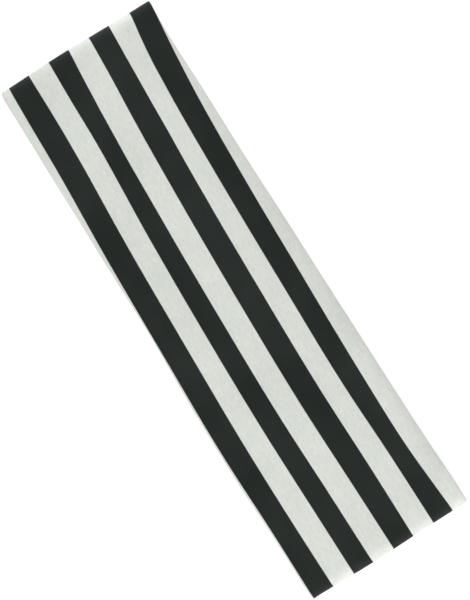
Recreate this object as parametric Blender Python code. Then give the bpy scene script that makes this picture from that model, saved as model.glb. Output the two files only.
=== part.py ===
"""A wide striped sweat headband, stored flat: a closed loop of two-ply knitted band pressed together.

Frame: metres, +Z up, origin at the centre of the footprint on the surface that the band lies on.
+X runs along the flattened loop from fold to fold, and +Y across the band.

The loop is drawn once, as the side profile of its outer face, and every fabric piece is swept round that
profile at its own depth. A station is one place on the profile.
"""

import math
from collections import namedtuple

import bmesh
import bpy

MM = 0.001

# Driving dimensions of the flattened loop
LOOP_LENGTH = 231.0 * MM
WIDTH_NARROW_END = 67.8 * MM  # at the -X fold
WIDTH_WIDE_END = 71.6 * MM  # at the +X fold
FOLD_RADIUS = 3.9 * MM  # outer radius of the soft fold at each end
SETTLE_LENGTH = 26.0 * MM  # over which the upper half sinks from the fold to the flat middle
HALVES_GAP = 0.4 * MM  # between the hems of the two halves
LOWER_SHOWS = 1.0 * MM  # how far the lower half shows past the upper one, -Y edge, -X end
LOWER_SHOWS_TO_X = -12.0 * MM  # where that ends
BOW = 0.6 * MM  # how far the -Y edge bows out past a straight line
BOW_X = 48.0 * MM  # where it bows most
BOW_REACH = 66.0 * MM  # from there to where it is straight again

# Plies, as depths into the band from its outer face
CLEARANCE = 0.3 * MM
JERSEY = 0.6 * MM
LINING = 0.6 * MM
HEM_THREAD = 0.7 * MM
HEM_STITCH = 0.45 * MM
THREAD_SLACK = 0.1 * MM  # more room for the edge thread, where the jersey's corners are rounded
LINING_DEPTH = JERSEY + CLEARANCE
HEM_DEPTH = JERSEY + CLEARANCE + HEM_THREAD + CLEARANCE + JERSEY  # to the inside of the turned hem

# Edges: the jersey turns round the lining and back over it as a hem
HEM_WIDTH = 4.0 * MM
EDGE_ROUND = 0.9 * MM
LINING_INSET = 2.2 * MM  # of the lining's edge from the band's edge
EDGE_THREAD_DEPTH = JERSEY + CLEARANCE + HEM_THREAD / 2
EDGE_THREAD_INSET = EDGE_THREAD_DEPTH + THREAD_SLACK
HEM_STITCH_INSET = HEM_WIDTH + CLEARANCE + HEM_STITCH / 2
HEM_STITCH_DEPTH = LINING_DEPTH + LINING + CLEARANCE + HEM_STITCH / 2

# Closing seam, at X = 0 in the lower half
FACE_SEAM_GAP = 1.0 * MM
FACE_STITCH = 0.35 * MM
ALLOWANCE = 5.5 * MM  # how far the lining's two turned ends reach
ALLOWANCE_INSET = HEM_WIDTH + HEM_STITCH + 2 * CLEARANCE
ALLOWANCE_TRIM = 2.0 * MM  # length over which the lining narrows to its turned end
CLOSING_THREAD = 0.8 * MM
LABEL_PLY = 0.25 * MM
LABEL_LENGTH = 13.0 * MM
LABEL_WIDTH = 20.0 * MM

# How finely curves are cut
FOLD_STEPS = 12
SETTLE_STEPS = 6
FLAT_STEPS = 5
ROUND_STEPS = 3
HAIRPIN_STEPS = 6
THREAD_SIDES = 6
SHARP_ANGLE = math.radians(50)

FLAT_HEIGHT = 2 * HEM_DEPTH + HALVES_GAP
FOLD_CENTRE_X = LOOP_LENGTH / 2 - FOLD_RADIUS

Station = namedtuple("Station", "x z inward_x inward_z lower")


def smooth(share):
    """0 to 1, level at both ends."""
    share = min(1.0, max(0.0, share))
    return share * share * (3 - 2 * share)


def spaced(start, end, steps):
    return [start + (end - start) * i / steps for i in range(steps + 1)]


def bottom_stations():
    """From the closing seam to the +X fold, flat on the ground."""
    return [Station(x, 0.0, 0.0, 1.0, 1.0) for x in spaced(FACE_SEAM_GAP / 2, FOLD_CENTRE_X, FLAT_STEPS)]


def fold_stations():
    """Half a turn, from the ground to the crest of the fold."""
    found = []
    for share in spaced(0.0, 1.0, FOLD_STEPS)[1:-1]:
        angle = math.pi * (share - 0.5)
        out_x, out_z = math.cos(angle), math.sin(angle)
        x, z = FOLD_CENTRE_X + FOLD_RADIUS * out_x, FOLD_RADIUS * (1 + out_z)
        found.append(Station(x, z, -out_x, -out_z, 1 - smooth(share)))
    return found


def top_stations():
    """From the crest of the fold down to the flat middle, and on to X = 0."""
    found = []
    drop = 2 * FOLD_RADIUS - FLAT_HEIGHT
    for share in spaced(0.0, 1.0, SETTLE_STEPS):
        slope = drop / 2 * math.pi / SETTLE_LENGTH * math.sin(math.pi * share)
        size = math.hypot(slope, 1.0)
        z = FLAT_HEIGHT + drop * (0.5 + 0.5 * math.cos(math.pi * share))
        found.append(Station(FOLD_CENTRE_X - SETTLE_LENGTH * share, z, slope / size, -1.0 / size, 0.0))
    for x in spaced(FOLD_CENTRE_X - SETTLE_LENGTH, 0.0, FLAT_STEPS)[1:]:
        found.append(Station(x, FLAT_HEIGHT, 0.0, -1.0, 0.0))
    return found


def loop_stations():
    """The whole loop, from one side of the closing seam round to the other."""
    right = bottom_stations() + fold_stations() + top_stations()
    left = [s._replace(x=-s.x, inward_x=-s.inward_x) for s in reversed(right[:-1])]
    return right + left


def edge(side, x, lower):
    """Distance of the band's edge from the centreline. lower is 1 in the lower half and 0 in the upper."""
    width = WIDTH_NARROW_END + (WIDTH_WIDE_END - WIDTH_NARROW_END) * (x / LOOP_LENGTH + 0.5)
    if side > 0:
        return width / 2
    tucked = LOWER_SHOWS * (1 - lower) * smooth((LOWER_SHOWS_TO_X - x) / (LOOP_LENGTH / 2 + LOWER_SHOWS_TO_X))
    bowed = BOW * (1 - smooth(abs(x - BOW_X) / BOW_REACH))
    return width / 2 - tucked + bowed


def at(station, side, inset, depth):
    """The point at that inset from the band's edge and depth from its outer face."""
    return (
        station.x + depth * station.inward_x,
        side * (edge(side, station.x, station.lower) - inset),
        station.z + depth * station.inward_z,
    )


def loft(name, rings, material):
    """A solid through rings of equal, even count.

    Each ring runs out along one side of the section and back along the other, so that quads between
    the two sides close its ends.
    """
    bm = bmesh.new()
    rows = [[bm.verts.new(point) for point in ring] for ring in rings]
    count = len(rows[0])
    for row, following in zip(rows, rows[1:]):
        for i in range(count):
            j = (i + 1) % count
            bm.faces.new((row[i], row[j], following[j], following[i]))
    for row in (rows[0], rows[-1]):
        for i in range(count // 2 - 1):
            bm.faces.new((row[i], row[i + 1], row[count - 2 - i], row[count - 1 - i]))
    bmesh.ops.recalc_face_normals(bm, faces=bm.faces)
    mesh = bpy.data.meshes.new(name)
    bm.to_mesh(mesh)
    bm.free()
    mesh.materials.append(material)
    mesh.shade_smooth()
    mesh.set_sharp_from_angle(angle=SHARP_ANGLE)
    obj = bpy.data.objects.new(name, mesh)
    bpy.context.scene.collection.objects.link(obj)
    return obj


def thread_section(diameter):
    """The corners of a round thread's section, as offsets from its middle."""
    angles = spaced(0.0, 2 * math.pi, THREAD_SIDES)[:-1]
    return [(diameter / 2 * math.cos(a), diameter / 2 * math.sin(a)) for a in angles]


def thread_round(name, side, inset, depth, diameter, material):
    """A thread that follows one edge of the band right round the loop."""
    section = thread_section(diameter)
    rings = [
        [at(station, side, inset + across, depth + inward) for across, inward in section]
        for station in loop_stations()
    ]
    return loft(name, rings, material)


def thread_across(name, x, z, inset, diameter, material):
    """A thread straight across the lower half of the band."""
    section = thread_section(diameter)
    ends = (inset - edge(-1, x, 1.0), edge(1, x, 1.0) - inset)
    rings = [[(x + along, y, z + up) for along, up in section] for y in ends]
    return loft(name, rings, material)


def hem_side(depth_in):
    """One edge of the jersey from its cut edge round to the flat, that far in from its outer surface."""
    radius = EDGE_ROUND - depth_in
    points = [(HEM_WIDTH, HEM_DEPTH - depth_in)]
    for middle, start in ((HEM_DEPTH - EDGE_ROUND, math.pi / 2), (EDGE_ROUND, math.pi)):
        for a in spaced(start, start + math.pi / 2, ROUND_STEPS):
            points.append((EDGE_ROUND + radius * math.cos(a), middle + radius * math.sin(a)))
    return points


def hemmed_section():
    """(side, inset, depth) points round the jersey's section: a shallow channel with turned lips."""
    section = []
    for depth_in, first_side in ((0.0, 1), (JERSEY, -1)):
        points = hem_side(depth_in)
        section += [(first_side, *point) for point in points]
        section += [(-first_side, *point) for point in reversed(points)]
    return section


def add_face_jersey(material):
    """The striped outer fabric, hemmed over both edges of the lining, its ends meeting at the closing seam."""
    section = hemmed_section()
    rings = [[at(station, *point) for point in section] for station in loop_stations()]
    return loft("face_jersey", rings, material)


def lining_path():
    """(x, z, lower, inset) along the middle of the lining, with both ends turned up and laid towards +X."""
    middle = LINING_DEPTH + LINING / 2
    level = LINING + CLEARANCE
    reach = ALLOWANCE
    bend = level / 2
    hairpin_x = bend + LINING / 2
    tab = [(reach, middle + level, 1.0, ALLOWANCE_INSET)]
    for a in spaced(math.pi / 2, 3 * math.pi / 2, HAIRPIN_STEPS):
        tab.append((hairpin_x + bend * math.cos(a), middle + bend + bend * math.sin(a), 1.0, ALLOWANCE_INSET))
    tab.append((hairpin_x + ALLOWANCE_TRIM, middle, 1.0, ALLOWANCE_INSET))
    trimmed = hairpin_x + 2 * ALLOWANCE_TRIM
    round_loop = []
    for s in loop_stations():
        x, z = s.x + middle * s.inward_x, s.z + middle * s.inward_z
        if s.lower < 1 or abs(x) > trimmed:
            round_loop.append((x, z, s.lower, LINING_INSET))
    riser_x = -CLEARANCE - LINING / 2
    riser = [
        (-trimmed, middle, 1.0, LINING_INSET),
        (-trimmed + ALLOWANCE_TRIM, middle, 1.0, ALLOWANCE_INSET),
        (riser_x, middle, 1.0, ALLOWANCE_INSET),
        (riser_x, middle + 2 * level, 1.0, ALLOWANCE_INSET),
        (reach, middle + 2 * level, 1.0, ALLOWANCE_INSET),
    ]
    return tab + [(trimmed, middle, 1.0, LINING_INSET)] + round_loop + riser


def normals_along(points):
    """A mitred normal for each (x, z) point of an open path, to the left of its direction."""
    found = []
    for i, here in enumerate(points):
        before = points[max(i - 1, 0)]
        after = points[min(i + 1, len(points) - 1)]
        steps = [
            (b[0] - a[0], b[1] - a[1])
            for a, b in ((before, here), (here, after))
            if math.dist(a, b) > 0
        ]
        units = [(dx / math.hypot(dx, dz), dz / math.hypot(dx, dz)) for dx, dz in steps]
        mean_x = sum(u[0] for u in units) / len(units)
        mean_z = sum(u[1] for u in units) / len(units)
        square = mean_x * mean_x + mean_z * mean_z
        found.append((-mean_z / square, mean_x / square))
    return found


def ribbon(name, path, thickness, material):
    """A strip of even thickness along (x, z, lower, inset) points, as wide as the band less its inset."""
    rings = []
    for (x, z, lower, inset), (nx, nz) in zip(path, normals_along([p[:2] for p in path])):
        ring = []
        for offset, side in ((0.5, 1), (0.5, -1), (-0.5, -1), (-0.5, 1)):
            y = side * (edge(side, x, lower) - inset)
            ring.append((x + nx * offset * thickness, y, z + nz * offset * thickness))
        rings.append(ring)
    return loft(name, rings, material)


def add_terry_lining(material):
    return ribbon("terry_lining", lining_path(), LINING, material)


def add_edge_overlock(name, side, material):
    """The overlock thread over the lining's raw edge, inside one edge of the band."""
    return thread_round(name, side, EDGE_THREAD_INSET, EDGE_THREAD_DEPTH, HEM_THREAD, material)


def add_hem_stitch(name, side, material):
    """The thread that catches the turned hem down on the lining."""
    return thread_round(name, side, HEM_STITCH_INSET, HEM_STITCH_DEPTH, HEM_STITCH, material)


def add_closing_stitch(material):
    """The thread that draws the jersey's two ends together."""
    return thread_across("closing_stitch", 0.0, JERSEY / 2, EDGE_ROUND, FACE_STITCH, material)


def add_closing_overlock(material):
    """The thread over the raw edges of the lining's two turned ends, midway between the two."""
    x = ALLOWANCE + CLEARANCE + CLOSING_THREAD / 2
    z = LINING_DEPTH + LINING / 2 + 1.5 * (LINING + CLEARANCE)
    return thread_across("closing_overlock", x, z, ALLOWANCE_INSET, CLOSING_THREAD, material)


def add_care_label(material):
    """A blank folded label, caught in the closing seam and lying on the lining."""
    low = LINING_DEPTH + LINING + CLEARANCE
    high = low + LABEL_PLY + CLEARANCE
    seam_x = -2 * CLEARANCE - LINING
    fold_x = seam_x - LABEL_LENGTH
    outline = [
        (seam_x, low),
        (fold_x, low),
        (fold_x, high + LABEL_PLY),
        (seam_x, high + LABEL_PLY),
        (seam_x, high),
        (fold_x + LABEL_PLY, high),
        (fold_x + LABEL_PLY, low + LABEL_PLY),
        (seam_x, low + LABEL_PLY),
    ]
    rings = [[(x, y, z) for x, z in outline] for y in (-LABEL_WIDTH / 2, LABEL_WIDTH / 2)]
    return loft("care_label", rings, material)


def principled(name, colour, roughness):
    material = bpy.data.materials.new(name)
    material.use_nodes = True
    shader = material.node_tree.nodes["Principled BSDF"]
    shader.inputs["Base Color"].default_value = (*colour, 1.0)
    shader.inputs["Roughness"].default_value = roughness
    shader.inputs["Metallic"].default_value = 0.0
    return material


def clear_scene():
    for obj in list(bpy.data.objects):
        bpy.data.objects.remove(obj)


def main():
    clear_scene()
    add_face_jersey(principled("striped_jersey", (0.66, 0.70, 0.65), 0.9))
    add_terry_lining(principled("terry", (0.74, 0.76, 0.72), 0.95))
    thread = principled("thread", (0.72, 0.74, 0.70), 0.6)
    for side, word in ((1, "left"), (-1, "right")):
        add_edge_overlock(f"edge_overlock_{word}", side, thread)
        add_hem_stitch(f"hem_stitch_{word}", side, thread)
    add_closing_stitch(thread)
    add_closing_overlock(thread)
    add_care_label(principled("label_satin", (0.80, 0.80, 0.78), 0.45))


main()
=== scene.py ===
"""A wide striped sweat headband lying flat, as it is stored: the finished fabric, thread, light and camera.

Metres, in the model's own frame: +X along the flattened loop, +Y across the band, +Z up. The band is one
profile, the side view of its outer face, and every fabric is swept round it. 'along' is the distance round
that profile from the closing seam under the band, 'inset' the distance in from the band's edge, and 'depth'
the distance into the band from its outer face.
"""

import math

import bpy
import numpy as np
from mathutils import Matrix, Vector, noise


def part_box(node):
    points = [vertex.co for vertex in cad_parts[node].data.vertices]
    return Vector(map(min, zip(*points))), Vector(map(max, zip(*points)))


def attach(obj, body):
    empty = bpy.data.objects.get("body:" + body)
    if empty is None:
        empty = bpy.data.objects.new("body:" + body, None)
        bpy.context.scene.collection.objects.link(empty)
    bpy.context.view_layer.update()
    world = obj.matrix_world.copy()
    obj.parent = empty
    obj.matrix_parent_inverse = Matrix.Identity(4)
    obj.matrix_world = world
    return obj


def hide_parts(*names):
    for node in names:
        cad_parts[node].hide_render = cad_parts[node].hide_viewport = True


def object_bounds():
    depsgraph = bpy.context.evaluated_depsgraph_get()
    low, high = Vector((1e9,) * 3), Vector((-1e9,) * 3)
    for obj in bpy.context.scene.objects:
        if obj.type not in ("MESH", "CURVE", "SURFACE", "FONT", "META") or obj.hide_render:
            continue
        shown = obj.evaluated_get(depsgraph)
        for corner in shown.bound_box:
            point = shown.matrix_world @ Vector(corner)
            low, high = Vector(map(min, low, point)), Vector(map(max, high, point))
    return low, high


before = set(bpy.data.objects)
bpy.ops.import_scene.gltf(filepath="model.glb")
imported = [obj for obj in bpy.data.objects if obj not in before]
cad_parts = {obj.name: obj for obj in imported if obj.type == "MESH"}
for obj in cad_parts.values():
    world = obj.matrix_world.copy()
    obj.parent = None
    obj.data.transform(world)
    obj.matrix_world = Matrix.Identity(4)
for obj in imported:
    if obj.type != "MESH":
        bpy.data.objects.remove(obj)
cad_low, cad_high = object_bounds()

MM = 0.001

# Driving dimensions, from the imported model
LENGTH = cad_high.x - cad_low.x
WIDTH = cad_high.y - cad_low.y
FOLD_RADIUS = (cad_high.z - cad_low.z) / 2
FOLD_X = LENGTH / 2 - FOLD_RADIUS
SETTLE = 26 * MM  # over which the upper half sinks from its fold
LOWER_SHOWS = 1.0 * MM  # how far the lower half peeps out of the -Y edge at the -X fold
LOWER_SHOWS_TO = -12 * MM  # the X where it is hidden again
# (X, distance of the edge from the centreline), mm, for the +Y and the -Y edge
EDGES = {
    1: [(-116, 34.7), (-101, 34.0), (-75, 34.15), (-60, 34.05), (0, 34.4), (70, 34.8), (116, 35.6)],
    -1: [
        (-116, 33.9), (-60, 34.4), (-30, 34.7), (-15, 34.6),
        (20, 35.7), (50, 36.5), (88, 35.95), (116, 35.85),
    ],
}
EDGE_WANDER = 0.12 * MM  # a slow wander of both edges
EDGE_WANDER_WAVE = 24 * MM
FOLD_BOW = 0.6 * MM  # how far each fold bows out, at most
FOLD_BOW_Y = -7 * MM
FOLD_BOW_SPREAD = 18 * MM

# Plies
JERSEY = 0.6 * MM
HEM_DEPTH = 2.5 * MM  # outer face to the inside of the turned hem
HEM_WIDTH = 4.0 * MM
EDGE_ROUND = 0.9 * MM
FLAT_HEIGHT = 2 * HEM_DEPTH + 0.4 * MM
SEAM_GAP = 0.16 * MM  # between the jersey's two ends
SEAM_FINE = 1.5 * MM  # beside the closing seam, where the mesh is finer
SEAM_GROOVE = 0.5 * MM  # how far the jersey's ends turn up into the closing seam
SEAM_GROOVE_REACH = 0.8 * MM
LINING_DEPTH = 0.9 * MM
LINING_FLAT = 0.6 * MM  # thickness where it is pressed, at the closing seam
PILE = 1.2 * MM  # thickness elsewhere
LINING_INSET = 2.2 * MM
LINING_RISE = 0.25 * MM  # of the lining off the jersey at the closing seam
LINING_TURNS = 2.5 * MM  # how far from the closing seam the lining's ends begin to turn
LINING_SETTLES = 10 * MM  # over which it then lies down on the jersey
ALLOWANCE = 5.5 * MM  # reach of the lining's two turned ends
ALLOWANCE_INSET = 5.05 * MM
NARROWS = 2 * MM  # over which the lining narrows to that inset
ALLOWANCE_GAP = 0.3 * MM  # between the plies of the turned ends
PRESSED_TO = 15.5 * MM  # how far from the closing seam the lining is pressed thin
PLUMPS = 9 * MM  # over which it then reaches its full thickness
CLEAR_OF_HEM = 0.4 * MM  # from the hem's cut edge to where the pile begins to rise
PILE_RISES = 2 * MM  # over which it rises there
TUFT = 0.12 * MM  # unevenness of the pile
TUFT_WAVE = 3 * MM

# Thread
THREAD = 0.22 * MM
HEM_STITCH_PITCH = 2.6 * MM
HEM_STITCH_BOW = 0.12 * MM
HEM_STITCH_SLACK = 1.06
HEM_STITCH_START = 3 * MM  # from the closing seam
EDGE_LOOP_REACH = 1.9 * MM
EDGE_LOOP_HEIGHT = 0.8 * MM
EDGE_LOOP_PITCH = 2.0 * MM
EDGE_LOOP_START = 6 * MM  # from the closing seam
EDGE_LOOP_OUT = 0.1 * MM  # how far the loops' middles lie outside the lining's raw edge
LOOP_LEAN = 0.35 * MM
SEAM_STITCH_LENGTH = 0.9 * MM
SEAM_STITCH_INSET = 1.5 * MM
SEAM_STITCH_BOW = -0.1 * MM  # downwards
SEAM_STITCH_PITCH = 2.1 * MM
SEAM_STITCH_HEIGHT = 0.45 * MM
SEAM_STITCH_SLANT = 0.45  # across the band, for each unit along it
ALLOWANCE_LOOP_REACH = 3.0 * MM
ALLOWANCE_LOOP_HEIGHT = 2.0 * MM
ALLOWANCE_LOOP_PITCH = 2.0 * MM
ALLOWANCE_LOOP_IN = 1.2 * MM  # from the turned ends' cut edges in to the loops' middles

# How the flat cloth eases and ripples
RIPPLE = 0.20 * MM
RIPPLE_WAVES = (38 * MM, 17 * MM)  # along the loop and across the band, as for the fine ones
FINE_RIPPLE = 0.05 * MM
FINE_RIPPLE_WAVES = (11 * MM, 7 * MM)
RIPPLE_UNDER = 0.6  # the share of the ripples that the lower half keeps
OFF_GROUND = 0.10 * MM  # of the lower half, before its ripples and puckers
PUCKER = 0.22 * MM  # of the closing seam
PUCKER_WAVE = 3.2 * MM
PUCKER_FADE = 5 * MM
FALL_UNDER, FALL_OVER = 0.15 * MM, 1.05 * MM  # of the +Y edge, in the lower and the upper half
FALL_REACH = 6.0 * MM
FALL_FADE = 30 * MM  # over which the fall dies out towards each fold
RISE = 0.35 * MM  # of the -Y edge, in the upper half
RISE_REACH = 4.5 * MM

# Cloth
STRIPE = 9.15 * MM  # each stripe, black or white, where the cloth lies square
COURSES_PER_STRIPE = 24
COURSE = STRIPE / COURSES_PER_STRIPE
WALE = 0.52 * MM
KNIT_BEND = 0.6  # how far each V slopes, in courses
# Where the stripes lie in the upper half, mm: X, the Y at which the first black stripe begins, and the
# widths of the four black stripes and the white ones between them
STRETCHED_STRIPES = [
    (-114, -29.7, 9.2, 9.2, 9.1, 9.2, 9.0, 9.5, 9.2),
    (-100, -30.3, 9.7, 8.8, 8.4, 9.7, 9.0, 8.2, 9.6),
    (-78, -31.0, 9.7, 9.0, 7.4, 9.7, 9.5, 7.6, 9.2),
    (-40, -32.9, 9.5, 8.9, 7.9, 9.6, 9.5, 8.0, 8.7),
    (5, -34.4, 9.4, 8.8, 8.2, 9.5, 9.6, 8.4, 8.5),
    (50, -35.6, 9.3, 9.2, 8.3, 9.5, 9.6, 8.5, 8.2),
    (85, -35.2, 8.7, 9.5, 8.6, 9.5, 9.5, 9.0, 7.4),
    (114, -35.1, 8.9, 9.4, 8.6, 9.6, 9.1, 9.3, 8.9),
]
SEAM_MISMATCH = 0.6 * MM  # of the stripes across the closing seam
SEAM_MISMATCH_FADE = 25 * MM

GRID = 1.2 * MM  # mesh spacing of the jersey
LINING_GRID = 1.1 * MM

# Colours, in pairs where a cloth is uneven
OFF_WHITE = (0.567, 0.612, 0.572), (0.651, 0.658, 0.612)
CHARCOAL = (0.0060, 0.0100, 0.0080), (0.0220, 0.0255, 0.0230)
TERRY_WHITE = (0.66, 0.68, 0.63), (0.74, 0.75, 0.71)
THREAD_WHITE = (0.66, 0.68, 0.64), (0.76, 0.77, 0.73)
SATIN_WHITE = (0.78, 0.78, 0.76, 1.0)
PAPER_WHITE = (0.93, 0.93, 0.93, 1.0)


def smooth(share):
    """Eases from 0 to 1."""
    share = np.clip(share, 0.0, 1.0)
    return share * share * (3 - 2 * share)


def curve_through(points, at):
    """A smooth curve through a few (place, value) points."""
    places, values = (np.array(column, float) for column in zip(*points))
    slopes = np.gradient(values, places)
    i = np.clip(np.searchsorted(places, at, side="right") - 1, 0, len(places) - 2)
    gap = places[i + 1] - places[i]
    t = np.clip((at - places[i]) / gap, 0.0, 1.0)
    start = (1 + 2 * t) * (1 - t) ** 2 * values[i] + t * (1 - t) ** 2 * gap * slopes[i]
    end = t * t * (3 - 2 * t) * values[i + 1] - t * t * (1 - t) * gap * slopes[i + 1]
    return start + end


def noise_grid(along, across, waves, seed):
    """Smooth noise from -1 to 1 on a grid of places in the cloth."""
    values = [
        [noise.noise(Vector((a / waves[0], c / waves[1], seed))) for c in row]
        for a, row in zip(along, across)
    ]
    return np.array(values)


# ---------------------------------------------------------------- the profile


def outline(step):
    """Dense (x, z) points of the outer face's side view, from the closing seam round to it again."""
    bottom = [(x, 0.0) for x in np.arange(SEAM_GAP / 2, FOLD_X, step)]
    turns = np.linspace(-math.pi / 2, math.pi / 2, int(math.pi * FOLD_RADIUS / step))
    fold = [(FOLD_X + FOLD_RADIUS * math.cos(a), FOLD_RADIUS * (1 + math.sin(a))) for a in turns]
    drop = 2 * FOLD_RADIUS - FLAT_HEIGHT
    top = []
    for x in np.arange(FOLD_X, 0, -step)[1:]:
        share = min(1.0, (FOLD_X - x) / SETTLE)
        top.append((x, FLAT_HEIGHT + drop * (0.5 + 0.5 * math.cos(math.pi * share))))
    right = bottom + fold + top
    return np.array(right + [(0.0, FLAT_HEIGHT)] + [(-x, z) for x, z in reversed(right)])


class Profile:
    """Stations round the band: place, inward normal, distance along and from the seam, and which half."""

    def __init__(self, spacing):
        dense = outline(step=0.05 * MM)
        lengths = np.hypot(*np.diff(dense, axis=0).T)
        dense_along = np.concatenate(([0.0], np.cumsum(lengths)))
        total = dense_along[-1]
        near = np.linspace(0.0, SEAM_FINE, 9)
        middle = np.linspace(near[-1], total - near[-1], int(round(total / spacing)))
        self.along = np.concatenate((near, middle[1:-1], total - near[::-1]))
        self.total = total
        self.from_seam = np.minimum(self.along, total - self.along)
        self.x = np.interp(self.along, dense_along, dense[:, 0])
        self.z = np.interp(self.along, dense_along, dense[:, 1])
        tangent = np.gradient(dense, dense_along, axis=0)
        tx = np.interp(self.along, dense_along, tangent[:, 0])
        tz = np.interp(self.along, dense_along, tangent[:, 1])
        size = np.hypot(tx, tz)
        self.nx, self.nz = -tz / size, tx / size
        # 1 in the lower half, 0 in the upper one
        in_fold = np.abs(self.x) > FOLD_X
        height = self.z / (2 * FOLD_RADIUS)
        on_ground = (self.z < FOLD_RADIUS / 2) & ~in_fold
        self.lower = np.where(in_fold, 1 - smooth(height), np.where(on_ground, 1.0, 0.0))

    def edge(self, side):
        """Distance of the band's edge from its centreline at each station.

        Each edge wanders in its own way, from its own place in the noise.
        """
        half = curve_through(EDGES[side], self.x / MM) * MM
        if side < 0:
            share = smooth((LOWER_SHOWS_TO - self.x) / (LENGTH / 2 + LOWER_SHOWS_TO))
            half = half - LOWER_SHOWS * (1 - self.lower) * share
        wander = [noise.noise(Vector((a / EDGE_WANDER_WAVE, side * 3.1, 0.7))) for a in self.along]
        return half + EDGE_WANDER * np.array(wander)


# ---------------------------------------------------------------- the jersey


def hem_side(depth_in):
    """(out, unrolled, depth) from one cut edge of the hem round to the flat face.

    out and unrolled are measured from where the flat face ends: straight across, and round the cloth.
    """
    radius = EDGE_ROUND - depth_in
    lip = HEM_WIDTH - EDGE_ROUND
    wall = HEM_DEPTH - 2 * EDGE_ROUND
    quarter = math.pi / 2 * EDGE_ROUND
    shares = np.linspace(0, 1, 5)
    points = []
    for share in shares[:-1]:
        back = lip * (1 - share)
        points.append((-back, 2 * quarter + wall + back, HEM_DEPTH - depth_in))
    for share in shares:
        angle = math.pi / 2 * (1 - share)
        depth = HEM_DEPTH - EDGE_ROUND + radius * math.sin(angle)
        points.append((radius * math.cos(angle), quarter * (2 - share) + wall, depth))
    for share in shares:
        angle = math.pi / 2 * share
        depth = EDGE_ROUND - radius * math.sin(angle)
        points.append((radius * math.cos(angle), quarter * (1 - share), depth))
    return points


def jersey_section(depth_in):
    """Rows of (share across the flat face, out, unrolled, depth) from the -Y hem to the +Y hem."""
    side = hem_side(depth_in)
    flat_count = int((WIDTH - 2 * EDGE_ROUND) / GRID)
    rows = [(0.0, -out, -unrolled, depth) for out, unrolled, depth in side]
    rows += [(share, 0.0, 0.0, depth_in) for share in np.linspace(0, 1, flat_count + 1)[1:-1]]
    rows += [(1.0, out, unrolled, depth) for out, unrolled, depth in reversed(side)]
    return np.array(rows)


def relief(profile, across):
    """How far the band's surface lies inward of its plain profile.

    Soft ripples on both halves, puckers at the closing seam, and folds that bow out a little in the middle.
    """
    along = profile.along
    lower = profile.lower[:, None]
    broad = noise_grid(along, across, RIPPLE_WAVES, seed=2.3)
    fine = noise_grid(along, across, FINE_RIPPLE_WAVES, seed=8.1)
    ripple = RIPPLE * broad + FINE_RIPPLE * fine
    pucker_place = noise_grid(0 * along, across, (1.0, PUCKER_WAVE), seed=4.4)
    pucker = PUCKER * np.exp(-profile.from_seam[:, None] / PUCKER_FADE) * (0.6 + pucker_place)
    on_ground = np.maximum(0.0, OFF_GROUND + RIPPLE_UNDER * ripple + pucker)
    flat = np.where(lower > 0.5, on_ground * smooth((lower - 0.5) * 2), ripple * smooth((0.5 - lower) * 2))
    bow = FOLD_BOW * np.exp(-(((across - FOLD_BOW_Y) / FOLD_BOW_SPREAD) ** 2))
    return flat - bow * 4 * lower * (1 - lower)


def edge_easing(profile, across):
    """How far the outer face falls away towards the +Y edge, less what the upper -Y hem stands up."""
    left = profile.edge(1)[:, None] - across
    right = profile.edge(-1)[:, None] + across
    upper = 1 - profile.lower[:, None]
    away = smooth((FOLD_X - np.abs(profile.x))[:, None] / FALL_FADE)
    fall = (FALL_UNDER + (FALL_OVER - FALL_UNDER) * upper) * (1 - np.clip(left / FALL_REACH, 0, 1)) ** 2
    rise = RISE * (1 - np.clip(right / RISE_REACH, 0, 1)) ** 2
    return fall * away - rise * upper


def pressed(easing, depth):
    """How much of the outer face's easing is felt at that depth, down to none at the turned hem."""
    return easing * np.clip(1 - depth / HEM_DEPTH, 0, 1)


def seam_groove(profile):
    """How far the outer face turns up into the closing seam."""
    share = 1 - np.clip(profile.from_seam / SEAM_GROOVE_REACH, 0, 1)
    return SEAM_GROOVE * (1 - np.sqrt(1 - share * share))


def stripe_edges(profile):
    """Where the eight edges of the black stripes lie across the band, at each station.

    In the upper half the cloth is stretched unevenly. In the lower half the stripes are equal, and drift
    from where one fold leaves them to where the other does, but for a small mismatch at the closing seam.
    """
    places, *steps = np.array(STRETCHED_STRIPES).T
    steps = [curve_through(list(zip(places, step)), profile.x / MM) for step in steps]
    upper = np.cumsum(steps, axis=0) * MM
    at_narrow, at_wide = upper[0][np.argmin(profile.x)], upper[0][np.argmax(profile.x)]
    drift = np.interp(profile.x, (-LENGTH / 2, LENGTH / 2), (at_narrow, at_wide))
    mismatch = np.where(profile.x < 0, SEAM_MISMATCH * np.exp(profile.x / SEAM_MISMATCH_FADE), 0.0)
    lower = drift + mismatch + STRIPE * np.arange(len(upper))[:, None]
    return upper + (lower - upper) * profile.lower


def cloth_across(profile, unrolled):
    """The place in the striped cloth, from the outer edge of the -Y black stripe, at each mesh point."""
    beyond = 40 * MM
    edges = stripe_edges(profile)
    cloth = STRIPE * np.arange(len(edges))
    cloth = np.concatenate(([cloth[0] - beyond], cloth, [cloth[-1] + beyond]))
    found = np.empty_like(unrolled)
    for i, station in enumerate(edges.T):
        places = np.concatenate(([station[0] - beyond], station, [station[-1] + beyond]))
        found[i] = np.interp(unrolled[i], places, cloth)
    return found


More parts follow.
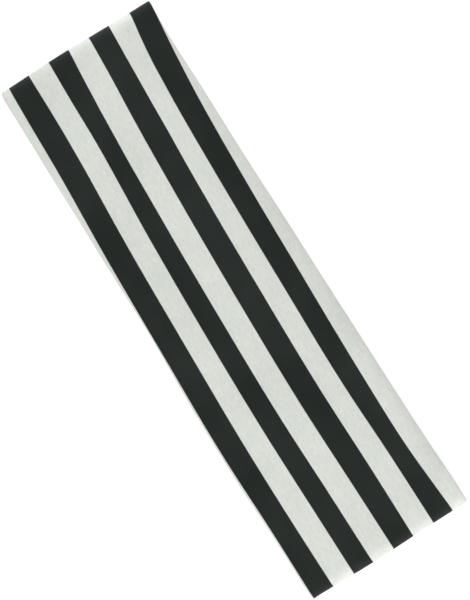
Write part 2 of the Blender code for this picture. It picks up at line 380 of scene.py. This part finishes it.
def solid_from_grids(name, outer, inner, uv_outer, uv_inner):
    """A closed sheet between two equal grids of points, with a UV map on both faces."""
    rows, columns = outer.shape[:2]
    count = rows * columns
    points = np.concatenate((outer.reshape(-1, 3), inner.reshape(-1, 3)))
    uv = np.concatenate((uv_outer.reshape(-1, 2), uv_inner.reshape(-1, 2)))
    index = np.arange(count).reshape(rows, columns)
    a, b = index[:-1, :-1], index[1:, :-1]
    c, d = index[1:, 1:], index[:-1, 1:]
    faces = [np.stack((d, c, b, a), -1).reshape(-1, 4), np.stack((a, b, c, d), -1).reshape(-1, 4) + count]
    rim = np.concatenate((index[0, :-1], index[:-1, -1], index[-1, :0:-1], index[:0:-1, 0]))
    after = np.roll(rim, -1)
    faces.append(np.stack((rim + count, after + count, after, rim), -1))
    faces = np.concatenate(faces)
    mesh = bpy.data.meshes.new(name)
    mesh.from_pydata(points.tolist(), [], faces.tolist())
    layer = mesh.uv_layers.new(name="cloth")
    layer.uv.foreach_set("vector", uv[faces.reshape(-1)].astype(np.float32).ravel())
    mesh.shade_smooth()
    mesh.update()
    piece = bpy.data.objects.new(name, mesh)
    bpy.context.scene.collection.objects.link(piece)
    return piece


def swept(profile, across, depth):
    """Points in space for grids of places across the band and depths into it."""
    x = profile.x[:, None] + depth * profile.nx[:, None]
    z = profile.z[:, None] + depth * profile.nz[:, None]
    return np.stack((x, across, z), -1)


def make_jersey(profile):
    """The striped cloth, right round the loop, with both edges turned in as hems."""
    outer_depth = jersey_section(0.0)[:, 3]
    grids = []
    for depth_in in (0.0, JERSEY):
        section = jersey_section(depth_in)
        low = -(profile.edge(-1) - EDGE_ROUND)[:, None]
        high = (profile.edge(1) - EDGE_ROUND)[:, None]
        flat = low + section[:, 0] * (high - low)
        across, unrolled = flat + section[:, 1], flat + section[:, 2]
        easing = edge_easing(profile, across) + seam_groove(profile)[:, None]
        depth = section[:, 3] + relief(profile, flat) + pressed(easing, outer_depth)
        uv = np.stack((np.broadcast_to(profile.along[:, None], across.shape),
                       cloth_across(profile, unrolled)), -1)
        grids.append((swept(profile, across, depth), uv))
    (outer, uv_outer), (inner, uv_inner) = grids
    return solid_from_grids("face_jersey_cloth", outer, inner, uv_outer, uv_inner)


# ---------------------------------------------------------------- the lining


def arc(middle_x, middle_z, radius, start, end, steps=8):
    """Base points and their normals round a turn of the lining, whose pile is on its left."""
    turn = 1 if end > start else -1
    points = []
    for a in np.linspace(start, end, steps + 1):
        out_x, out_z = math.cos(a), math.sin(a)
        points.append((middle_x + radius * out_x, middle_z + radius * out_z, -turn * out_x, -turn * out_z))
    return points


def lining_ends():
    """(x, z, normal x, normal z) of the lining's base at its two turned ends, first and last."""
    base = LINING_DEPTH + LINING_RISE
    ply = LINING_FLAT + ALLOWANCE_GAP
    hairpin = (ply + LINING_FLAT) / 2
    first = [(x, base + 2 * hairpin, 0, -1) for x in np.linspace(ALLOWANCE, hairpin, 6)[:-1]]
    first += arc(hairpin, base + hairpin, hairpin, math.pi / 2, 3 * math.pi / 2)
    corner, fillet = 0.7 * MM, 0.15 * MM
    riser_x = -0.3 * MM
    top = base + 2 * ply
    last = arc(riser_x - corner, base + corner, corner, -math.pi / 2, 0)
    last += arc(riser_x + fillet, top - fillet, fillet, math.pi, math.pi / 2, steps=4)
    last += [(x, top, 0, 1) for x in np.linspace(riser_x + fillet, ALLOWANCE, 7)[1:]]
    return np.array(first), np.array(last)


def make_lining(profile):
    """The terry strip: flat against the jersey, pressed thin at the closing seam, both ends turned in."""
    first, last = lining_ends()
    from_seam = profile.from_seam
    kept = from_seam > LINING_TURNS
    shares = np.linspace(0, 1, int((WIDTH - 2 * LINING_INSET) / LINING_GRID) + 1)
    narrowed = 1 - smooth((from_seam - LINING_TURNS) / NARROWS)
    inset = LINING_INSET + (ALLOWANCE_INSET - LINING_INSET) * narrowed
    low = -(profile.edge(-1) - inset)[:, None]
    high = (profile.edge(1) - inset)[:, None]
    across = low + shares * (high - low)
    settled = smooth((from_seam - LINING_TURNS) / LINING_SETTLES)[:, None]
    rise = relief(profile, across) * settled + LINING_RISE * (1 - settled)
    from_edge = np.minimum(across - low, high - across) + inset[:, None]
    clear_of_hem = smooth((from_edge - HEM_WIDTH - CLEAR_OF_HEM) / PILE_RISES)
    clear_of_seam = smooth((np.abs(profile.x)[:, None] - PRESSED_TO) / PLUMPS)
    tufts = noise_grid(profile.along, across, (TUFT_WAVE, TUFT_WAVE), seed=5.5)
    thickness = LINING_FLAT + clear_of_hem * clear_of_seam * (PILE - LINING_FLAT + TUFT * tufts)
    easing = edge_easing(profile, across) * settled
    depth = LINING_DEPTH + rise + pressed(easing, LINING_DEPTH)
    base = swept(profile, across, depth)[kept]
    depth = LINING_DEPTH + rise + thickness + pressed(easing, LINING_DEPTH + thickness)
    pile = swept(profile, across, depth)[kept]
    along = np.broadcast_to(profile.along[:, None], across.shape)[kept]
    across = across[kept]

    def turned(end, row, sign):
        """Base, pile and cloth places of a turned end, at the spread of the loop's nearest row."""
        x, z, nx, nz = (column[:, None] for column in end.T)
        y = np.broadcast_to(across[row], (len(end), len(shares)))
        steps = np.hypot(*np.diff(end[:, :2], axis=0).T)
        far = np.concatenate(([0.0], np.cumsum(steps)))[:, None] + 0 * y
        places = along[row] - sign * (far[-1] - far if sign > 0 else far)
        ones = np.ones_like(y)
        under = np.stack((x * ones, y, z * ones), -1)
        over = np.stack(((x + nx * LINING_FLAT) * ones, y, (z + nz * LINING_FLAT) * ones), -1)
        return under, over, places, y

    first_base, first_pile, first_along, first_across = turned(first, 0, 1)
    last_base, last_pile, last_along, last_across = turned(last, -1, -1)
    base = np.concatenate((first_base, base, last_base))
    pile = np.concatenate((first_pile, pile, last_pile))
    uv = np.stack((np.concatenate((first_along, along, last_along)),
                   np.concatenate((first_across, across, last_across))), -1)
    return solid_from_grids("terry_lining_cloth", base, pile, uv, uv)


# ---------------------------------------------------------------- thread


def edit(select):
    """Selects the vertices that pass the test, in edit mode."""
    bpy.ops.mesh.select_all(action="DESELECT")
    bpy.ops.object.mode_set(mode="OBJECT")
    for vertex in bpy.context.object.data.vertices:
        vertex.select = select(vertex.co)
    bpy.ops.object.mode_set(mode="EDIT")


def model_straight_stitch(length, rise):
    """One stitch of thread along X, bowed up by rise, its two ends narrowed where they enter the cloth."""
    bpy.ops.mesh.primitive_cylinder_add(
        vertices=7, radius=THREAD / 2, depth=length, rotation=(0, math.pi / 2, 0),
    )
    stitch = bpy.context.object
    bpy.ops.object.transform_apply(location=False, rotation=True, scale=False)
    bpy.ops.object.mode_set(mode="EDIT")
    bpy.ops.mesh.select_mode(type="VERT")
    places = [length * share for share in (-0.36, -0.18, 0.0, 0.18, 0.36)]
    for place in places:
        bpy.ops.mesh.select_all(action="SELECT")
        bpy.ops.mesh.bisect(plane_co=(place, 0, 0), plane_no=(1, 0, 0))
    for place in places:
        edit(lambda co: abs(co.x - place) < 0.01 * length)
        bow = rise * math.cos(math.pi * place / length)
        bpy.ops.transform.translate(value=(0, 0, bow))
    for end in (-length / 2, length / 2):
        edit(lambda co: abs(co.x - end) < 0.01 * length)
        bpy.ops.transform.resize(value=(1, 0.6, 0.6), center_override=(end, 0, 0))
    bpy.ops.object.mode_set(mode="OBJECT")
    bpy.ops.object.shade_smooth()
    return stitch


def model_loop_stitch(reach, height):
    """One loop of thread in the XZ plane, flattened to that reach and height and leaning along Y."""
    bpy.ops.mesh.primitive_torus_add(
        major_segments=12, minor_segments=5, major_radius=reach / 2, minor_radius=THREAD / 2,
        rotation=(math.pi / 2, 0, 0),
    )
    loop = bpy.context.object
    bpy.ops.object.transform_apply(location=False, rotation=True, scale=False)
    bpy.ops.object.mode_set(mode="EDIT")
    for end in (-1, 1):
        edit(lambda co: co.z * end > 0.1 * reach)
        bpy.ops.transform.translate(value=(0, LOOP_LEAN * end, (height - reach) / 2 * end))
    bpy.ops.object.mode_set(mode="OBJECT")
    bpy.ops.object.shade_smooth()
    return loop


def sewn(name, stitch, placements, node):
    """A row of copies of one stitch, which is used up, joined into the piece that stands for a thread."""
    bpy.ops.object.select_all(action="DESELECT")
    copies = []
    for placement in placements:
        copy = stitch.copy()
        copy.data = stitch.data.copy()
        copy.data.transform(placement)
        bpy.context.scene.collection.objects.link(copy)
        copy.select_set(True)
        copies.append(copy)
    bpy.context.view_layer.objects.active = copies[0]
    bpy.ops.object.join()
    row = bpy.context.view_layer.objects.active
    row.name = name
    row.data.materials.clear()
    row.data.materials.append(thread_look())
    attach(row, "root")
    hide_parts(node)
    bpy.data.objects.remove(stitch)


def frame_of(origin, along, up):
    """A placement whose X axis lies along one direction and whose Z axis lies near another."""
    x = Vector(along).normalized()
    y = Vector(up).cross(x).normalized()
    z = x.cross(y)
    return Matrix.Translation(origin) @ Matrix((x, y, z)).transposed().to_4x4()


class Seamstress:
    """Places in space along the band's edges, for thread."""

    def __init__(self, profile):
        self.profile = profile
        self.edges = {side: profile.edge(side) for side in (1, -1)}

    def read(self, values, along):
        """A value that is given at each station, at any place along the profile."""
        return float(np.interp(along, self.profile.along, values))

    def place(self, along, side, inset, depth):
        """The point that far along the profile, in from that side's edge, and deep in the band."""
        p = self.profile
        nx, nz = self.read(p.nx, along), self.read(p.nz, along)
        y = side * (self.read(self.edges[side], along) - inset)
        return Vector((self.read(p.x, along) + depth * nx, y, self.read(p.z, along) + depth * nz))

    def inward(self, along):
        return Vector((self.read(self.profile.nx, along), 0, self.read(self.profile.nz, along)))


def sew_hem(seamstress, side, name, node):
    """A zigzag that catches the hem's cut edge down on the lining."""
    length = seamstress.profile.total - 2 * HEM_STITCH_START
    count = int(length / HEM_STITCH_PITCH)
    half_pitch = length / count / 2
    # (inset, depth) of the zigzag's two sides
    on_hem = (HEM_WIDTH - 0.9 * MM, HEM_DEPTH + 0.02 * MM)
    on_lining = (HEM_WIDTH + 1.0 * MM, LINING_DEPTH + 0.85 * MM)
    flat = 60 * MM  # a place along the flat lower half, where one stitch is measured
    sample = seamstress.place(flat, side, *on_hem) - seamstress.place(flat + half_pitch, side, *on_lining)
    stitch = model_straight_stitch(sample.length * HEM_STITCH_SLACK, HEM_STITCH_BOW)
    placements = []
    for i in range(2 * count):
        start, end = HEM_STITCH_START + i * half_pitch, HEM_STITCH_START + (i + 1) * half_pitch
        ends = (on_hem, on_lining) if i % 2 == 0 else (on_lining, on_hem)
        a, b = seamstress.place(start, side, *ends[0]), seamstress.place(end, side, *ends[1])
        placements.append(frame_of((a + b) / 2, b - a, seamstress.inward((start + end) / 2)))
    sewn(name, stitch, placements, node)


def sew_edge(seamstress, side, name, node):
    """The overlock loops over the lining's raw edge, inside the hem."""
    loop = model_loop_stitch(EDGE_LOOP_REACH, EDGE_LOOP_HEIGHT)
    inset, middle_depth = LINING_INSET - EDGE_LOOP_OUT, LINING_DEPTH + LINING_FLAT / 2
    across = side * (seamstress.edges[side] - inset)
    depth = middle_depth + pressed(edge_easing(seamstress.profile, across[:, None])[:, 0], middle_depth)
    placements = []
    last = seamstress.profile.total - EDGE_LOOP_START
    for along in np.arange(EDGE_LOOP_START, last, EDGE_LOOP_PITCH):
        middle = seamstress.place(along, side, inset, seamstress.read(depth, along))
        placements.append(frame_of(middle, (0, 1, 0), seamstress.inward(along)))
    sewn(name, loop, placements, node)


def sew_closing_seam(seamstress):
    """Short stitches that draw the jersey's two ends together, and loops over the lining's turned ends."""
    right, left = (seamstress.read(seamstress.edges[side], 0.0) for side in (-1, 1))
    stitch = model_straight_stitch(SEAM_STITCH_LENGTH, SEAM_STITCH_BOW)
    rows = np.arange(-right + SEAM_STITCH_INSET, left - SEAM_STITCH_INSET, SEAM_STITCH_PITCH)
    slant = (1, SEAM_STITCH_SLANT, 0)
    placements = [frame_of((0, y, SEAM_STITCH_HEIGHT), slant, (0, 0, 1)) for y in rows]
    sewn("closing_stitch_thread", stitch, placements, "closing_stitch")
    loop = model_loop_stitch(ALLOWANCE_LOOP_REACH, ALLOWANCE_LOOP_HEIGHT)
    rows = np.arange(-right + ALLOWANCE_INSET, left - ALLOWANCE_INSET, ALLOWANCE_LOOP_PITCH)
    middle = LINING_DEPTH + LINING_RISE + 2 * LINING_FLAT + 1.5 * ALLOWANCE_GAP
    placements = [Matrix.Translation((ALLOWANCE - ALLOWANCE_LOOP_IN, y, middle)) for y in rows]
    sewn("closing_overlock_thread", loop, placements, "closing_overlock")


# ---------------------------------------------------------------- the care label


def make_label():
    """A blank satin label, folded once, with its two cut ends in the closing seam."""
    low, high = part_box("care_label")
    ply = 0.2 * MM
    bpy.ops.mesh.primitive_plane_add(size=1.0, location=((low.x + high.x) / 2, 0, low.z + ply / 2))
    label = bpy.context.object
    label.name = "care_label_satin"
    bulge = 0.2 * MM  # of the fold, past the plies' ends
    label.scale = (high.x - low.x - 2 * bulge, high.y - low.y, 1.0)
    bpy.ops.object.transform_apply(location=True, rotation=False, scale=True)
    bpy.ops.object.mode_set(mode="EDIT")
    bpy.ops.mesh.select_mode(type="VERT")
    fold_x = min(v.co.x for v in label.data.vertices)
    rise = high.z - low.z - ply
    edit(lambda co: co.x < fold_x + 0.1 * MM)
    steps = [(out * bulge, 0, up * rise) for out, up in ((-1, 0.3), (0, 0.4), (1, 0.3))]
    for step in steps + [(high.x - fold_x - bulge, 0, 0)]:
        bpy.ops.mesh.extrude_region_move(TRANSFORM_OT_translate={"value": step})
    bpy.ops.mesh.select_all(action="SELECT")
    bpy.ops.mesh.subdivide(number_cuts=5)
    bpy.ops.mesh.normals_make_consistent(inside=False)
    bpy.ops.object.mode_set(mode="OBJECT")
    thicken = label.modifiers.new("ply", "SOLIDIFY")
    thicken.thickness = ply
    thicken.offset = 0.0
    bpy.ops.object.modifier_apply(modifier=thicken.name)
    bpy.ops.object.shade_smooth_by_angle(angle=math.radians(40))
    label.data.materials.append(label_look())
    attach(label, "root")
    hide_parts("care_label")


# ---------------------------------------------------------------- looks


class Look:
    """A material whose nodes are added one after another."""

    def __init__(self, name, roughness, sheen=0.0, specular=0.3):
        self.material = bpy.data.materials.new(name)
        self.material.use_nodes = True
        self.nodes = self.material.node_tree.nodes
        self.links = self.material.node_tree.links
        self.shader = self.nodes["Principled BSDF"]
        self.shader.inputs["Roughness"].default_value = roughness
        self.shader.inputs["Sheen Weight"].default_value = sheen
        self.shader.inputs["Sheen Roughness"].default_value = 0.5
        self.shader.inputs["Specular IOR Level"].default_value = specular

    def put(self, socket, value):
        if isinstance(value, bpy.types.NodeSocket):
            self.links.new(value, socket)
        else:
            socket.default_value = value

    def math(self, operation, *values):
        node = self.nodes.new("ShaderNodeMath")
        node.operation = operation
        for socket, value in zip(node.inputs, values):
            self.put(socket, value)
        return node.outputs[0]

    def cloth(self):
        """The cloth's own coordinates: metres along it, and metres across it."""
        node = self.nodes.new("ShaderNodeUVMap")
        node.uv_map = "cloth"
        split = self.nodes.new("ShaderNodeSeparateXYZ")
        self.links.new(node.outputs["UV"], split.inputs[0])
        return split.outputs["X"], split.outputs["Y"]

    def place(self):
        return self.nodes.new("ShaderNodeTexCoord").outputs["Object"]

    def joined(self, x, y, z=0.0):
        node = self.nodes.new("ShaderNodeCombineXYZ")
        for socket, value in zip(node.inputs, (x, y, z)):
            self.put(socket, value)
        return node.outputs[0]

    def noise(self, vector, scale, detail=2.0):
        node = self.nodes.new("ShaderNodeTexNoise")
        self.put(node.inputs["Vector"], vector)
        node.inputs["Scale"].default_value = scale
        node.inputs["Detail"].default_value = detail
        return node.outputs["Fac"]

    def grains(self, vector):
        node = self.nodes.new("ShaderNodeTexWhiteNoise")
        node.noise_dimensions = "2D"
        self.put(node.inputs["Vector"], vector)
        return node.outputs["Value"]

    def spread(self, value, low, high, to_low, to_high):
        node = self.nodes.new("ShaderNodeMapRange")
        for socket, given in zip(node.inputs, (value, low, high, to_low, to_high)):
            self.put(socket, given)
        return node.outputs[0]

    def mixed(self, share, first, second):
        node = self.nodes.new("ShaderNodeMix")
        node.data_type = "RGBA"
        self.put(node.inputs[0], share)
        for socket, value in zip(node.inputs[6:8], (first, second)):
            self.put(socket, value if isinstance(value, bpy.types.NodeSocket) else (*value, 1.0))
        return node.outputs[2]

    def shaded(self, colour, amount):
        """colour times amount."""
        node = self.nodes.new("ShaderNodeVectorMath")
        node.operation = "SCALE"
        self.put(node.inputs[0], colour)
        self.put(node.inputs["Scale"], amount)
        return node.outputs[0]

    def bump(self, height, distance, strength):
        node = self.nodes.new("ShaderNodeBump")
        node.inputs["Strength"].default_value = strength
        node.inputs["Distance"].default_value = distance
        self.put(node.inputs["Height"], height)
        self.links.new(node.outputs["Normal"], self.shader.inputs["Normal"])

    def colour(self, value):
        self.put(self.shader.inputs["Base Color"], value)


def knit_stitches(look, along, across):
    """(course number, height, wale number) of a plain knit of small V stitches."""
    wale = look.math("FRACT", look.math("DIVIDE", along, WALE))
    from_middle = look.math("MULTIPLY", look.math("ABSOLUTE", look.math("SUBTRACT", wale, 0.5)), 2.0)
    bent = look.math("MULTIPLY", look.math("SUBTRACT", from_middle, 0.5), KNIT_BEND)
    course = look.math("SUBTRACT", look.math("DIVIDE", across, COURSE), bent)
    strand = look.math("SINE", look.math("MULTIPLY", look.math("FRACT", course), math.pi))
    leg = look.math("SINE", look.math("MULTIPLY", from_middle, math.pi))
    height = look.math("MULTIPLY", strand, look.math("MULTIPLY_ADD", leg, 0.6, 0.4))
    return look.math("FLOOR", course), height, look.math("FLOOR", look.math("DIVIDE", along, WALE))


def jersey_look():
    """Matte cotton jersey, yarn-dyed off-white and charcoal in equal stripes."""
    look = Look("striped_jersey_knit", roughness=0.92, sheen=0.05, specular=0.15)
    along, across = look.cloth()
    course, height, wale = knit_stitches(look, along, across)
    repeat = look.math("FRACT", look.math("DIVIDE", course, 2.0 * COURSES_PER_STRIPE))
    light = look.math("GREATER_THAN", repeat, 0.5 - 0.25 / COURSES_PER_STRIPE)
    in_cloth = look.joined(along, across)
    mottle = look.noise(in_cloth, scale=170, detail=3)
    broad = look.noise(in_cloth, scale=38)
    yarn = look.grains(look.joined(look.math("FLOOR", look.math("DIVIDE", wale, 3.0)), course))
    white = look.mixed(mottle, *OFF_WHITE)
    black = look.mixed(broad, *CHARCOAL)
    colour = look.mixed(light, black, white)
    # painted shade: the colour is darkened where the knit lies low, in the hollows between its stitches,
    # down to 0.86
    painted_hollow_shade = look.spread(height, 0.0, 1.0, 0.86, 1.02)
    uneven = look.spread(yarn, 0.0, 1.0, 0.955, 1.045)
    worn = look.spread(broad, 0.3, 0.7, 0.965, 1.035)
    look.colour(look.shaded(colour, look.math("MULTIPLY", look.math("MULTIPLY", painted_hollow_shade, uneven), worn)))
    look.bump(height, distance=0.07 * MM, strength=0.6)
    return look.material


def terry_look():
    """Off-white terry: small, uneven, fuzzy loops."""
    look = Look("looped_terry", roughness=0.95, sheen=0.25, specular=0.1)
    along, across = look.cloth()
    in_cloth = look.joined(along, across)
    loops = look.nodes.new("ShaderNodeTexVoronoi")
    look.put(loops.inputs["Vector"], in_cloth)
    loops.inputs["Scale"].default_value = 1 / (1.1 * MM)
    loops.inputs["Randomness"].default_value = 0.7
    lift = look.spread(loops.outputs["Distance"], 0.0, 0.7, 1.0, 0.0)
    fuzz = look.noise(in_cloth, scale=1 / (0.3 * MM), detail=3)
    white = look.mixed(look.noise(in_cloth, scale=70), *TERRY_WHITE)
    # painted shade: the colour is darkened in the hollows between the loops, down to 0.72, and lifted a
    # little on the loops' tops
    look.colour(look.shaded(white, look.spread(lift, 0.0, 1.0, 0.72, 1.03)))
    look.bump(look.math("MULTIPLY_ADD", fuzz, 0.35, lift), distance=0.45 * MM, strength=0.8)
    return look.material


def thread_look():
    """Spun sewing thread, off-white, with its fine twist."""
    known = bpy.data.materials.get("spun_thread")
    if known:
        return known
    look = Look("spun_thread", roughness=0.6, sheen=0.15, specular=0.3)
    place = look.place()
    look.colour(look.mixed(look.noise(place, scale=900), *THREAD_WHITE))
    look.bump(look.noise(place, scale=1 / (0.07 * MM)), distance=0.05 * MM, strength=0.5)
    return look.material


def label_look():
    """Blank woven satin, with fine ribs along the band."""
    look = Look("blank_satin", roughness=0.42, sheen=0.05, specular=0.5)
    ribs = look.nodes.new("ShaderNodeTexWave")
    look.put(ribs.inputs["Vector"], look.place())
    ribs.bands_direction = "Y"
    ribs.inputs["Scale"].default_value = 900
    ribs.inputs["Distortion"].default_value = 0.6
    look.colour(SATIN_WHITE)
    look.bump(ribs.outputs["Fac"], distance=0.03 * MM, strength=0.4)
    return look.material


def floor_look():
    """White paper on a light table."""
    look = Look("pale_floor", roughness=0.8, specular=0.1)
    look.colour(PAPER_WHITE)
    look.shader.inputs["Emission Color"].default_value = (1.0, 1.0, 1.0, 1.0)
    look.shader.inputs["Emission Strength"].default_value = 0.29
    return look.material


# ---------------------------------------------------------------- studio


def add_floor():
    """A wide floor just under the band."""
    bpy.ops.mesh.primitive_plane_add(size=40.0, location=(0, 0, -0.05 * MM))
    floor = bpy.context.object
    floor.name = "floor"
    floor.data.materials.append(floor_look())


def add_area_light(name, place, size, power):
    """A square lamp that faces the middle of the band and isn't seen itself."""
    light = bpy.data.lights.new(name, "AREA")
    light.size = size
    light.energy = power
    lamp = bpy.data.objects.new(name, light)
    bpy.context.scene.collection.objects.link(lamp)
    lamp.location = place
    lamp.rotation_euler = (-Vector(place)).to_track_quat("-Z", "Y").to_euler()
    lamp.visible_camera = False


def light_studio():
    """A soft overhead light, a key from the -Y side, and a small lamp near each fold."""
    world = bpy.data.worlds.new("studio")
    world.use_nodes = True
    background = world.node_tree.nodes["Background"]
    background.inputs["Color"].default_value = (1.0, 1.0, 1.0, 1.0)
    background.inputs["Strength"].default_value = 0.60
    bpy.context.scene.world = world
    add_area_light("overhead", (0.0, 0.0, 1.7), size=1.4, power=9.2)
    add_area_light("key", (0.10, -0.80, 0.95), size=0.5, power=5.8)
    add_area_light("narrow_end_lamp", (-0.24, 0.10, 0.03), size=0.04, power=0.16)
    add_area_light("wide_end_lamp", (0.33, 0.0, 0.07), size=0.1, power=0.285)
    bpy.context.scene.view_settings.view_transform = "Standard"


def add_camera():
    """Straight above the band, turned so that the loop's +X end points to the lower right."""
    turn = math.radians(57.77)
    lens, sensor = 150.0, 36.0
    seen = 233.1 * MM  # of the band's plane, along the picture's long side
    right = Vector((math.cos(turn), math.sin(turn), 0))
    up = Vector((-math.sin(turn), math.cos(turn), 0))
    aim = right * 1.17 * MM - up * 0.39 * MM
    camera = bpy.data.cameras.new("camera")
    camera.lens = lens
    camera.sensor_width = sensor
    camera.clip_end = 10
    holder = bpy.data.objects.new("camera", camera)
    bpy.context.scene.collection.objects.link(holder)
    holder.location = aim + Vector((0, 0, seen * lens / sensor + FLAT_HEIGHT))
    holder.rotation_euler = (0, 0, turn)
    bpy.context.scene.camera = holder


def dress(cloth, material, node):
    """Gives a cloth its material, and says what it replaces."""
    cloth.data.materials.append(material)
    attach(cloth, "root")
    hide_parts(node)


def main():
    bpy.ops.object.select_all(action="DESELECT")
    add_camera()
    light_studio()
    add_floor()
    profile = Profile(GRID)
    jersey = make_jersey(profile)
    dress(jersey, jersey_look(), "face_jersey")
    lining = make_lining(profile)
    dress(lining, terry_look(), "terry_lining")
    seamstress = Seamstress(profile)
    for side, word in ((1, "left"), (-1, "right")):
        sew_hem(seamstress, side, f"hem_stitch_{word}_thread", f"hem_stitch_{word}")
        sew_edge(seamstress, side, f"edge_overlock_{word}_thread", f"edge_overlock_{word}")
    sew_closing_seam(seamstress)
    make_label()


main()
